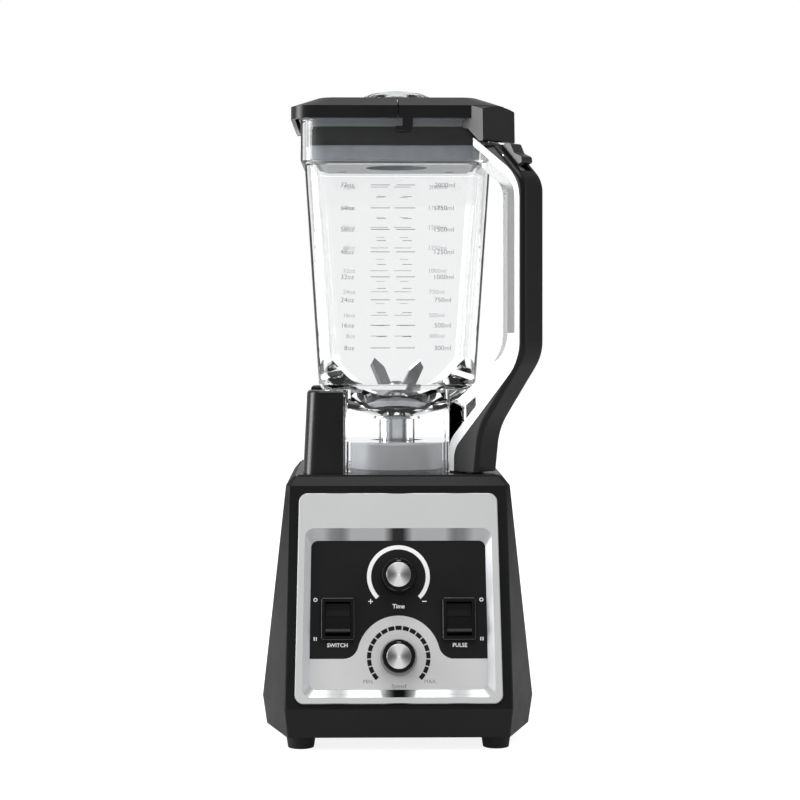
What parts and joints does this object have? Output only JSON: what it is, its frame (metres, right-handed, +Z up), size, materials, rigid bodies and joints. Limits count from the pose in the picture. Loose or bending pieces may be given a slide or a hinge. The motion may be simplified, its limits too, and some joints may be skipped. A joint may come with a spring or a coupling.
{
  "type": "countertop blender",
  "caption": "Countertop blender: tapered motor base with dials and rockers on a slanted panel, clear square jug with a corner grip, blade set, split lid and filler cap.",
  "frame": {"origin": "on the worktop, on the motor's axis, at the middle of the footprint", "axes": "+Z up along the motor's axis, -Y out of the control panel, +X to the panel's right"},
  "size_m": [0.2069, 0.2581, 0.4884],
  "materials": {
    "housing_black": "fine satin moulding",
    "tray_black": "matte moulding",
    "deck_black": "satin gloss",
    "rubber_black": "matte rubber",
    "steel_screw": "plated screw",
    "bezel_silver": "silver painted plastic with polished bevels",
    "label_black": "satin printed label",
    "label_silver": "satin silver label",
    "switch_black": "satin gloss",
    "knob_black": "satin",
    "knob_metal": "spun aluminium",
    "board_green": "solder mask",
    "pot_grey": "stamped can",
    "switch_body": "moulded",
    "motor_steel": "stacked sheet",
    "copper": "enamelled winding",
    "bearing_steel": "ground steel",
    "bracket_alu": "die cast",
    "fan_plastic": "moulded",
    "jug_clear": "clear copolyester, polished",
    "grip_black": "soft satin",
    "trim_silver": "silver strip",
    "lever_black": "satin",
    "blade_steel": "ground stainless",
    "seal_grey": "silicone",
    "lid_black": "satin",
    "pedestal_grey": "satin grey",
    "plug_grey": "satin grey",
    "cap_clear": "clear moulding"
  },
  "bodies": {
    "base": {"base_housing": "housing_black", "bottom_tray": "tray_black", "rubber_feet": "rubber_black", "tray_screws": "steel_screw", "cord_gland": "rubber_black", "rear_vent_grille": "housing_black", "jug_deck": "deck_black", "drive_pedestal": "pedestal_grey", "panel_bezel": "bezel_silver", "label_black": "label_black", "label_silver": "label_silver", "switch_frames": "switch_black", "switch_bodies": "switch_body", "control_board": "board_green", "time_potentiometer": "pot_grey", "speed_potentiometer": "pot_grey", "motor_top_bracket": "bracket_alu", "motor_bottom_bracket": "bracket_alu", "bottom_bearing": "bearing_steel", "top_bearing": "bearing_steel", "motor_stator": "motor_steel", "field_coils": "copper", "motor_dampers": "rubber_black", "brush_holders": "switch_body", "fan_shroud": "fan_plastic"},
    "rotor": {"motor_shaft": "bearing_steel", "rotor_core": "motor_steel", "commutator": "copper", "cooling_fan": "fan_plastic", "drive_socket": "bearing_steel"},
    "time_dial": {"time_knob": "knob_black", "time_knob_cap": "knob_metal"},
    "speed_dial": {"speed_knob": "knob_black", "speed_knob_cap": "knob_metal"},
    "power_switch": {"switch_rocker": "switch_black"},
    "pulse_switch": {"pulse_rocker": "switch_black"},
    "jug": {"jug_body": "jug_clear", "handle_core": "jug_clear", "handle_trim": "trim_silver", "handle_grip": "grip_black", "lever_pin": "steel_screw", "blade_bearing_housing": "blade_steel", "blade_bearings": "bearing_steel", "shaft_seal": "rubber_black", "jug_floor_seal": "seal_grey", "hub_nut": "blade_steel"},
    "lever": {"thumb_lever": "lever_black"},
    "blade": {"blade_set": "blade_steel", "blade_shaft": "bearing_steel", "blade_nut": "blade_steel", "drive_spline": "blade_steel"},
    "lid": {"lid_frame_left": "lid_black", "lid_frame_right": "lid_black", "lid_plug": "plug_grey", "lid_gasket": "rubber_black", "lid_seal": "seal_grey", "lid_screws": "steel_screw"},
    "cap": {"filler_cap": "cap_clear"}
  },
  "joints": [
    {"name": "jug_lift", "type": "slide", "parent": "base", "child": "jug", "axis": [0, 0, 1], "range_m": [0, 0.1]},
    {"name": "lid_lift", "type": "slide", "parent": "jug", "child": "lid", "axis": [0, 0, 1], "range_m": [0, 0.08]},
    {"name": "cap_lift", "type": "slide", "parent": "lid", "child": "cap", "axis": [0, 0, 1], "range_m": [0, 0.06]},
    {"name": "motor_spin", "type": "hinge", "parent": "base", "child": "rotor", "pos_m": [0, 0, 0.13], "axis": [0, 0, 1], "continuous": true},
    {"name": "blade_spin", "type": "hinge", "parent": "jug", "child": "blade", "pos_m": [0, 0, 0.23], "axis": [0, 0, 1], "continuous": true},
    {"name": "time_dial_turn", "type": "hinge", "parent": "base", "child": "time_dial", "pos_m": [0, -0.10047, 0.12335], "axis": [0, -0.969, 0.2469], "range_deg": [-135, 135]},
    {"name": "speed_dial_turn", "type": "hinge", "parent": "base", "child": "speed_dial", "pos_m": [0, -0.11494, 0.06656], "axis": [0, -0.969, 0.2469], "range_deg": [-135, 135]},
    {"name": "power_switch_tilt", "type": "hinge", "parent": "base", "child": "power_switch", "pos_m": [-0.0441, -0.10226, 0.09202], "axis": [1, 0, 0], "range_deg": [0, 14]},
    {"name": "pulse_switch_tilt", "type": "hinge", "parent": "base", "child": "pulse_switch", "pos_m": [0.0441, -0.10226, 0.09202], "axis": [1, 0, 0], "range_deg": [0, 14], "stiffness_Nm_per_rad": 0.08, "springref_deg": -5.73},
    {"name": "lever_tilt", "type": "hinge", "parent": "jug", "child": "lever", "pos_m": [0.0845, -0.0845, 0.4312], "axis": [-0.7071, -0.7071, 0], "range_deg": [-8, 0], "stiffness_Nm_per_rad": 0.04, "springref_deg": 8.59}
  ],
  "couplings": [
    {"joint": "blade_spin", "follows": "motor_spin", "ratio": 1}
  ]
}
